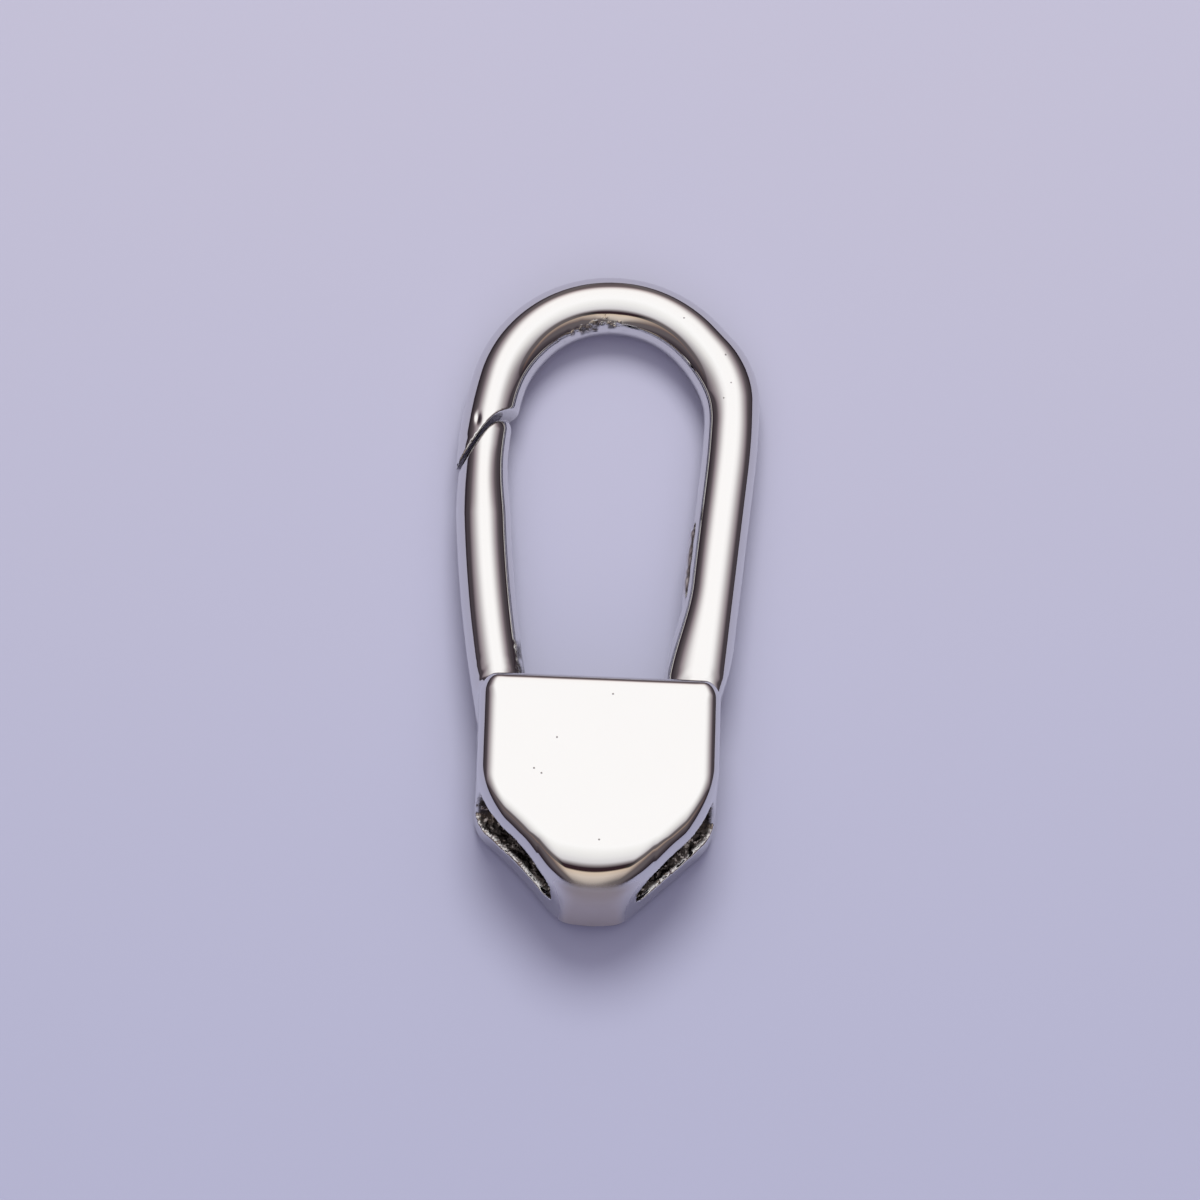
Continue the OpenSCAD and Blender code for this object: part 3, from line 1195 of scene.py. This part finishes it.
    def solid(self, x: Array, y: Array, z: Array) -> Array:
        """Distances to the whole casting."""
        bar = self.bar(x, y, z) - self.marks(x, y, z)
        whole = round_join(bar, self.block.body(x, y, z), self.fillet)
        whole = whole + self.polish.at(x, y, z)
        whole = round_cut(whole, -self.block.slot(self.loop, x, y, z), self.slot_edge)
        whole = round_cut(whole, -self.block.bore(self.loop, x, y, z), self.bore_edge)
        return round_cut(whole, -self.block.tunnel(x, y, z), self.tunnel_edge)

    def skin(self, points: Array) -> Array:
        """Share of rough cast skin at each point: 1 in the hollows and 0 on the polish."""
        x, y, z = points.T
        hollow = climb(-self.block.body(x, y, z), *self.skin_depth)
        slot = self.block.slot(self.loop, x, y, z)
        tunnel = self.block.tunnel(x, y, z)
        near = climb(np.minimum(slot, tunnel), *self.skin_near)
        arch = self.arch_wall(x, y, z)
        broken = arch + self.pit_spread * self.pitted.at(x, y, z)
        pits = climb(broken, *self.pit_span) * ease(3.0 * arch)
        # Besides the rough skin, this share paints the tunnel, the slot and the arch's pits near
        # black as shade.
        return np.maximum(hollow * near, self.pit_skin * pits)

    def build(self, finish: bpy.types.Material, attitude: Attitude) -> bpy.types.Object:
        """Meshes and dresses the casting.

        Args:
            finish: Material of the polished metal.
            attitude: Where the flat drawing lies.

        Returns:
            The piece.
        """
        net = Net(self.low, self.high, self.cell)
        points, quads, outward = net.build(self.solid)
        piece = make_piece("frame_casting", points, quads.tolist(), outward, attitude)
        add_values(piece, "cast", self.skin(points))
        add_values(piece, "satin", self.satin(points, outward))
        piece.data.materials.append(finish)
        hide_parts("frame")
        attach(piece, Body.FRAME.value)
        return piece


@dataclass
class Gate:
    """The push gate: a round bowed bar with a slanted tip and a round tail.

    Attributes:
        loop: Sizes of the loop's bar.
        seam: The cut above its tip.
        polish: Waves in its surface.
        low: Lowest corner of the space that it fills.
        high: Highest corner of that space.
        tail_radius: Radius of its tail.
        tail_height: Half the tail's thickness.
        tail_edge: Radius of the tail's edges.
        tail_fillet: Radius where the bar meets the tail.
        wall_x: Place of the block's left wall, which the tail lies flush with.
        wall_edge: Radius of the tail's edge there.
        bore_radius: Radius of the bore for the hinge pin.
        bore_edge: Radius of the bore's edge.
        tip_edge: Radius of the tip's edge.
        tip_shares: Shares of that radius outside and inside the loop.
        tip_across: Where across the loop it turns from the one to the other.
        tip_shift: How far the tip's cut lies inside the nose's.
        tip_taper: How much thinner the bar is at the tip.
        taper_span: Where along the loop that begins and where it is full.
        root_lumps: Height of the lumps near the block.
        root_span: Where along the loop they begin and where they are full.
        tail_skin: Share of cast skin on the tail inside the slot.
        tail_from: Where beside the hinge that begins and where it is full.
        tail_below: The same along the loop.
        face_skin: Share of cast skin on the tip's slanted face.
        face_span: Distances from the cut over which it sets in.
        flank_skin: Share of cast skin inside the loop, near the block.
        flank_from: Distances inwards from the bar's line over which it sets in.
        flank_span: Where along the loop it begins and where it is full.
        flank_spread: How much the noise of the lumps moves that.
        cell: Size of a mesh cell.
        rough: Noise of the lumps.
    """

    loop: Loop
    seam: Seam
    polish: Grain = field(default_factory=polish_waves)
    low: Point = (-5.5, -1.95, 0.95)
    high: Point = (-2.3, 10.9, 3.05)
    tail_radius: float = 1.0
    tail_height: float = 0.85
    tail_edge: float = 0.15
    tail_fillet: float = 0.15
    wall_x: float = -4.29
    wall_edge: float = 0.1
    bore_radius: float = 0.43
    bore_edge: float = 0.03
    tip_edge: float = 0.26
    tip_shares: Span = (0.4, 1.3)
    tip_across: Span = (-4.4, -3.5)
    tip_shift: float = 0.03
    tip_taper: float = 0.13
    taper_span: Span = (6.2, 8.8)
    root_lumps: float = 0.006
    root_span: Span = (1.3, 0.1)
    tail_skin: float = 0.8
    tail_from: Span = (-0.55, -0.25)
    tail_below: Span = (0.1, -0.2)
    face_skin: float = 0.25
    face_span: Span = (-0.06, -0.01)
    flank_skin: float = 0.85
    flank_from: Span = (0.62, 0.78)
    flank_span: Span = (1.9, 0.3)
    flank_spread: float = 0.9
    cell: float = 0.052
    rough: Grain = field(default_factory=lambda: Grain(0.22, 31))

    def past_tip(self, x: Array, y: Array) -> Array:
        """Distance beyond the tip's slanted face."""
        return self.seam.above(x - self.tip_shift, y + self.seam.gap)

    def solid(self, x: Array, y: Array, z: Array) -> Array:
        """Distances to the gate."""
        line = Line((self.loop.nose, self.loop.gate))
        bar = self.loop.bar(line.offset(x, y), z, 2.0, 0.0)
        bar = bar + self.tip_taper * climb(y, *self.taper_span)
        edge = self.tip_edge * between(*self.tip_shares, climb(x, *self.tip_across))
        bar = round_cut(bar, self.past_tip(x, y), edge)
        px, py, pz = self.loop.pivot
        around = np.hypot(x - px, y - py)
        height = np.abs(z - pz) - self.tail_height
        tail = round_cut(around - self.tail_radius, height, self.tail_edge)
        tail = round_cut(tail, self.wall_x - x, self.wall_edge)
        whole = round_join(bar, tail, self.tail_fillet) + self.polish.at(x, y, z)
        lumps = self.root_lumps * climb(y, *self.root_span) * self.rough.at(x, y, z)
        return round_cut(whole + lumps, self.bore_radius - around, self.bore_edge)

    def skin(self, points: Array) -> Array:
        """Share of rough cast skin at each point, on the tail and the tip's face."""
        x, y, z = points.T
        beside = climb(x - self.loop.pivot[0], *self.tail_from)
        tail = self.tail_skin * beside * climb(y, *self.tail_below)
        face = self.face_skin * climb(self.past_tip(x, y), *self.face_span)
        broken = y - self.flank_spread * self.rough.at(x, y, z)
        inwards = climb(-self.loop.gate.offset(x, y), *self.flank_from)
        flank = self.flank_skin * inwards * climb(broken, *self.flank_span)
        # Besides the rough skin, this share paints the tail, the tip's face and the flank near the
        # block dark as shade.
        return np.maximum.reduce([tail, face, flank])

    def build(self, finish: bpy.types.Material, attitude: Attitude) -> bpy.types.Object:
        """Meshes and dresses the gate.

        Args:
            finish: Material of the polished metal.
            attitude: Where the flat drawing lies.

        Returns:
            The piece.
        """
        net = Net(self.low, self.high, self.cell)
        points, quads, outward = net.build(self.solid)
        piece = make_piece("push_gate", points, quads.tolist(), outward, attitude)
        add_values(piece, "cast", self.skin(points))
        piece.data.materials.append(finish)
        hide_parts("gate")
        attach(piece, Body.GATE.value)
        return piece


@dataclass
class HingePin:
    """The plain pin that the gate turns on, with a bevelled end flush with the back.

    Attributes:
        loop: Sizes of the loop's bar, which give the pin's place.
        profile: Radius and height of the corners of its outline, from the back to the front.
        sides: Sides of its round.
    """

    loop: Loop
    profile: tuple[Span, ...] = (
        (0.0, 0.05), (0.12, 0.03), (0.3, 0.02), (0.36, 0.03), (0.39, 0.06), (0.4, 0.1),
        (0.4, 1.2), (0.4, 2.4), (0.4, 3.4), (0.38, 3.47), (0.33, 3.5), (0.0, 3.5),
    )
    sides: int = 64

    def build(self, finish: TurnedSteel, attitude: Attitude) -> bpy.types.Object:
        """Turns and dresses the pin.

        Args:
            finish: The turned steel.
            attitude: Where the flat drawing lies.

        Returns:
            The piece.
        """
        px, py, _ = self.loop.pivot
        angles = np.arange(self.sides) * math.tau / self.sides
        rings = [
            np.stack([px + r * np.cos(angles), py + r * np.sin(angles), np.full(self.sides, z)], 1)
            for r, z in self.profile[1:-1]
        ]
        ends = [(px, py, self.profile[0][1]), (px, py, self.profile[-1][1])]
        points = np.concatenate(rings + [np.array(ends)])
        faces = []
        last = (len(rings) - 1) * self.sides
        for n in range(self.sides):
            after = (n + 1) % self.sides
            for base in range(0, last, self.sides):
                top = base + self.sides
                faces.append([base + n, base + after, top + after, top + n])
            faces.append([len(points) - 2, after, n])
            faces.append([len(points) - 1, last + n, last + after])
        piece = make_piece("hinge_pin_turned", points, faces, None, attitude)
        piece.data.materials.append(finish.make(attitude.point((px, py, 0.0))))
        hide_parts("hinge_pin")
        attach(piece, Body.FRAME.value)
        return piece


@dataclass(frozen=True)
class Table:
    """The plain pale table top that the clasp lies on.

    Attributes:
        half: Half its width, in metres.
        near: Colour towards the camera, a little darker as painted shade.
        far: Colour beyond the arch, a little lighter as painted light.
        turn: Distance from the clasp's middle over which it turns from near to far.
        cloudy: Colour that faint clouds mix in.
        cloud: Noise of the clouds: lumps a metre, and detail.
        cloud_share: Most of the cloudy colour that shows.
    """

    half: float = 0.5
    near: Colour = (0.335, 0.345, 0.47, 1.0)
    far: Colour = (0.375, 0.37, 0.47, 1.0)
    turn: float = 0.025
    cloudy: Colour = (0.35, 0.36, 0.5, 1.0)
    cloud: Span = (90.0, 2.0)
    cloud_share: float = 0.3

    def build(self) -> bpy.types.Object:
        """Makes the table top."""
        side = self.half
        corners = [(-side, -side, 0.0), (side, -side, 0.0), (side, side, 0.0), (-side, side, 0.0)]
        mesh = bpy.data.meshes.new("table_top")
        mesh.from_pydata(corners, [], [(0, 1, 2, 3)])
        top = add_object("table_top", mesh)
        material, nodes = new_material("pale_paper")
        place = nodes.add("ShaderNodeTexCoord").outputs["Object"]
        # Painted light: the paper is lighter beyond the arch and darker towards the camera, as if
        # the light fell off.
        far = nodes.step(nodes.parts(place)[1], -self.turn, self.turn)
        tone = nodes.blend(far, self.near, self.far)
        clouded = nodes.blend(nodes.noise(place, *self.cloud), tone, self.cloudy)
        tone = nodes.blend(self.cloud_share, tone, clouded)
        nodes.surface({"Roughness": 0.75, "Specular IOR Level": 0.2, "Base Color": tone})
        mesh.materials.append(material)
        return top


@dataclass(frozen=True)
class Lamp:
    """A round soft lamp, which lights the table and shows in no mirror.

    Attributes:
        name: Name of the lamp.
        power: Its power, in watts.
        angle: How far it stands north from straight up, in degrees.
        size: Its width, in metres.
        tint: Colour of its light.
        distance: Its distance from the clasp, in metres.
    """

    name: str
    power: float
    angle: float
    size: float
    tint: Tone
    distance: float = 0.28

    def build(self, attitude: Attitude) -> None:
        """Hangs the lamp over the clasp laid down by an attitude."""
        lamp = bpy.data.lights.new(self.name, "AREA")
        lamp.shape = "DISK"
        lamp.size = self.size
        lamp.energy = self.power
        lamp.color = self.tint
        panel = add_object(self.name, lamp)
        tilt = math.radians(self.angle)
        away = Vector((0.0, math.sin(tilt), math.cos(tilt)))
        place = attitude.point((0.0, 3.0, 1.0)) + self.distance * away
        turn = away.to_track_quat("Z", "Y").to_matrix().to_4x4()
        panel.matrix_world = Matrix.Translation(place) @ turn
        panel.visible_glossy = False
        panel.visible_camera = False


@dataclass(frozen=True)
class Studio:
    """A broad soft panel overhead in a dim room, with a key lamp and a weak fill lamp.

    The sky is given by stops: an angle in degrees from straight up and the tone there. South,
    towards the camera, is negative, and north, beyond the arch, is positive.

    Attributes:
        strength: Brightness of the panel.
        along: Tones from south to north, as red, green and blue shares of the panel.
        aside: Shares of it from straight up to the east and west.
        dusk: Tones of the dim room, from straight up to the east and west.
        bow: How much further north the panel's south edge lies to its sides, in degrees a degree.
        bow_middle: Width of the bow's round middle, in degrees.
        lean: How much further north it lies to the east than to the west, in degrees a degree.
        fading: Angles along over which bow and lean fade.
        faded: Share of them that is left beyond.
        narrowing: How much narrower the panel is at its north end and at its south end.
        north_end: Angles along over which it narrows in the north.
        south_end: Angles along over which it widens again from the south.
        key: The lamp beyond the arch.
        fill: The weak bluish lamp on the camera's side, which lightens the shadows.
    """

    strength: float = 1.36
    along: Stops = (
        (-90.0, (0.08, 0.068, 0.072)), (-83.0, (0.13, 0.115, 0.115)), (-74.0, (0.28, 0.25, 0.24)),
        (-65.0, (0.46, 0.4, 0.36)), (-54.0, (0.62, 0.53, 0.46)), (-43.5, (0.66, 0.53, 0.42)),
        (-40.0, (0.03, 0.014, 0.017)), (-32.0, (0.03, 0.016, 0.022)), (-27.0, (0.25, 0.22, 0.23)),
        (-20.0, (0.66, 0.64, 0.66)), (-8.0, (0.8, 0.79, 0.79)), (2.0, (0.88, 0.87, 0.86)),
        (16.0, (0.99, 0.98, 0.98)), (46.0, (0.98, 0.95, 0.94)), (54.0, (0.82, 0.76, 0.75)),
        (59.0, (0.52, 0.44, 0.44)), (65.0, (0.15, 0.115, 0.12)), (90.0, (0.07, 0.06, 0.07)),
    )
    aside: Stops = (
        (0.0, (1.0, 1.0, 1.0)), (14.0, (1.0, 1.0, 1.0)), (24.0, (0.9, 0.89, 0.89)),
        (35.0, (0.67, 0.65, 0.66)), (45.0, (0.47, 0.44, 0.45)), (55.0, (0.34, 0.3, 0.32)),
        (65.0, (0.22, 0.185, 0.205)), (75.0, (0.125, 0.1, 0.115)), (82.0, (0.045, 0.034, 0.045)),
        (90.0, (0.06, 0.05, 0.06)),
    )
    dusk: Stops = (
        (0.0, (0.0, 0.0, 0.0)), (12.0, (0.0, 0.0, 0.0)), (26.0, (0.13, 0.112, 0.115)),
        (60.0, (0.11, 0.092, 0.1)), (68.0, (0.07, 0.056, 0.064)), (76.0, (0.05, 0.04, 0.047)),
        (84.0, (0.025, 0.018, 0.025)), (90.0, (0.035, 0.028, 0.035)),
    )
    bow: float = 0.5
    bow_middle: float = 14.0
    lean: float = 0.1
    fading: Span = (0.0, 50.0)
    faded: float = 0.5
    narrowing: Span = (0.3, 0.5)
    north_end: Span = (20.0, 50.0)
    south_end: Span = (-45.0, -20.0)
    key: Lamp = Lamp("key_lamp", 0.67, 32.0, 0.14, (1.0, 0.985, 0.91))
    fill: Lamp = Lamp("fill_lamp", 0.24, -35.0, 0.3, (0.72, 0.7, 1.0))

    def ramp(
        self, nodes: Nodes, angle: Socket, low: float, stops: Stops
    ) -> Socket:
        """Tone that goes through the stops as an angle goes from low to 90 degrees."""
        scale = nodes.add("ShaderNodeMapRange")
        nodes.join(angle, scale.inputs["Value"])
        scale.inputs["From Min"].default_value = low
        scale.inputs["From Max"].default_value = 90.0
        ramp = nodes.add("ShaderNodeValToRGB")
        nodes.join(scale.outputs["Result"], ramp.inputs[0])
        elements = ramp.color_ramp.elements
        while len(elements) < len(stops):
            elements.new(0.5)
        for element, (degrees, tone) in zip(elements, stops):
            element.position = (degrees - low) / (90.0 - low)
            element.color = (*tone, 1.0)
        return ramp.outputs["Color"]

    def build(self, attitude: Attitude) -> None:
        """Makes the world and the two lamps that light the scene."""
        world = bpy.data.worlds.new("studio")
        bpy.context.scene.world = world
        world.use_nodes = True
        nodes = Nodes(world.node_tree)
        place = nodes.add("ShaderNodeTexCoord").outputs["Generated"]
        east, north, up = nodes.parts(place)
        turn = 180.0 / math.pi
        along = nodes.math("MULTIPLY", nodes.math("ARCTAN2", north, up), turn)
        across = nodes.math("MULTIPLY", nodes.math("ARCTAN2", east, up), turn)
        square = nodes.math("MULTIPLY_ADD", across, across, self.bow_middle**2)
        reach = nodes.math("SUBTRACT", nodes.math("SQRT", square), self.bow_middle)
        slant = nodes.math("MULTIPLY", across, -self.lean)
        shift = nodes.math("MULTIPLY_ADD", reach, -self.bow, slant)
        share = nodes.step(along, *self.fading, 1.0, self.faded)
        leaning = nodes.math("MULTIPLY_ADD", shift, share, along)
        aside = nodes.math("ABSOLUTE", across)
        north_share = nodes.step(along, *self.north_end, 1.0, 1.0 + self.narrowing[0])
        south_share = nodes.step(along, *self.south_end, 1.0 + self.narrowing[1], 1.0)
        narrow = nodes.math("MULTIPLY", nodes.math("MULTIPLY", aside, north_share), south_share)
        flank = self.ramp(nodes, narrow, 0.0, self.aside)
        sky = self.ramp(nodes, leaning, -90.0, self.along)
        panel = nodes.mix("MULTIPLY", sky, flank)
        room = self.ramp(nodes, aside, 0.0, self.dusk)
        light = nodes.add("ShaderNodeBackground")
        nodes.join(nodes.mix("LIGHTEN", panel, room), light.inputs["Color"])
        light.inputs["Strength"].default_value = self.strength
        output = nodes.add("ShaderNodeOutputWorld")
        nodes.join(light.outputs["Background"], output.inputs["Surface"])
        self.key.build(attitude)
        self.fill.build(attitude)


@dataclass(frozen=True)
class PhotoCamera:
    """The camera, placed by the photograph's viewing angle on the flat drawing.

    Attributes:
        distance: Distance from the point that it looks at, in millimetres.
        scale: Picture points for a millimetre there.
        frame_width: Width of the picture, in the same points.
        elevation: Angle above the drawing's plane, in degrees.
        azimuth: Turn about the upright, towards -x from -y.
        roll: Turn about the line of sight.
        target: Point of the drawing's plane in the middle of the picture.
    """

    distance: float = 300.0
    scale: float = 28.7
    frame_width: float = 1200.0
    elevation: float = 69.0
    azimuth: float = -4.2
    roll: float = -6.2
    target: Point = (-0.15, 4.2, 0.0)

    def build(self, attitude: Attitude) -> bpy.types.Object:
        """Makes the scene's camera.

        Args:
            attitude: Where the flat drawing lies.

        Returns:
            The camera.
        """
        tall, round_, roll = (math.radians(a) for a in (self.elevation, self.azimuth, self.roll))
        right = Vector((math.cos(round_), math.sin(round_), 0.0))
        level = Vector((right.y, -right.x, 0.0))
        back = math.cos(tall) * level + Vector((0.0, 0.0, math.sin(tall)))
        up = back.cross(right)
        picture_x = math.cos(roll) * right - math.sin(roll) * up
        picture_y = math.sin(roll) * right + math.cos(roll) * up
        turn = attitude.turn @ Matrix((picture_x, picture_y, back)).transposed()
        lens = bpy.data.cameras.new("photo_camera")
        lens.sensor_width = 36.0
        lens.sensor_fit = "HORIZONTAL"
        lens.lens = self.scale * self.distance / self.frame_width * lens.sensor_width
        lens.clip_start = 0.01
        lens.clip_end = 5.0
        camera = add_object("photo_camera", lens)
        place = attitude.point(tuple(Vector(self.target) + self.distance * back))
        camera.matrix_world = Matrix.Translation(place) @ turn.to_4x4()
        bpy.context.scene.camera = camera
        return camera


# Small pits in the polish: on the block's face, on the bar's front and on the left slope.
POLISH_MARKS = (
    (-3.82, -2.63, 4.0), (-1.59, -2.40, 4.0), (-2.34, -3.55, 4.0), (-2.08, -3.72, 4.0),
    (0.28, -0.75, 4.0), (-0.05, -6.04, 4.0), (2.41, 13.74, 2.93), (3.90, 12.42, 2.93),
    (4.11, 11.37, 2.93), (3.86, 10.80, 2.93), (-3.01, -5.89, 0.6),
)


def main() -> None:
    """Builds the clasp, its table and its light."""
    logging.basicConfig(level=logging.INFO, format="%(message)s")
    bpy.context.scene.view_settings.view_transform = "Standard"
    loop = Loop()
    seam = Seam()
    attitude = Attitude.from_hinge(frame["joints"][0], loop.pivot)
    LOG.info("lean %.3f degrees, shift %s", math.degrees(attitude.lean), attitude.shift)
    PhotoCamera().build(attitude)
    Studio().build(attitude)
    Table().build()
    plate = PolishedPlate("polished_plate", marks=POLISH_MARKS).make(attitude)
    pieces = [
        Casting(loop, Block(), seam).build(plate, attitude),
        Gate(loop, seam).build(plate, attitude),
        HingePin(loop).build(TurnedSteel("turned_steel"), attitude),
    ]
    for piece in pieces:
        LOG.info("%s: %d faces", piece.name, len(piece.data.polygons))


if __name__ == "__main__":
    main()
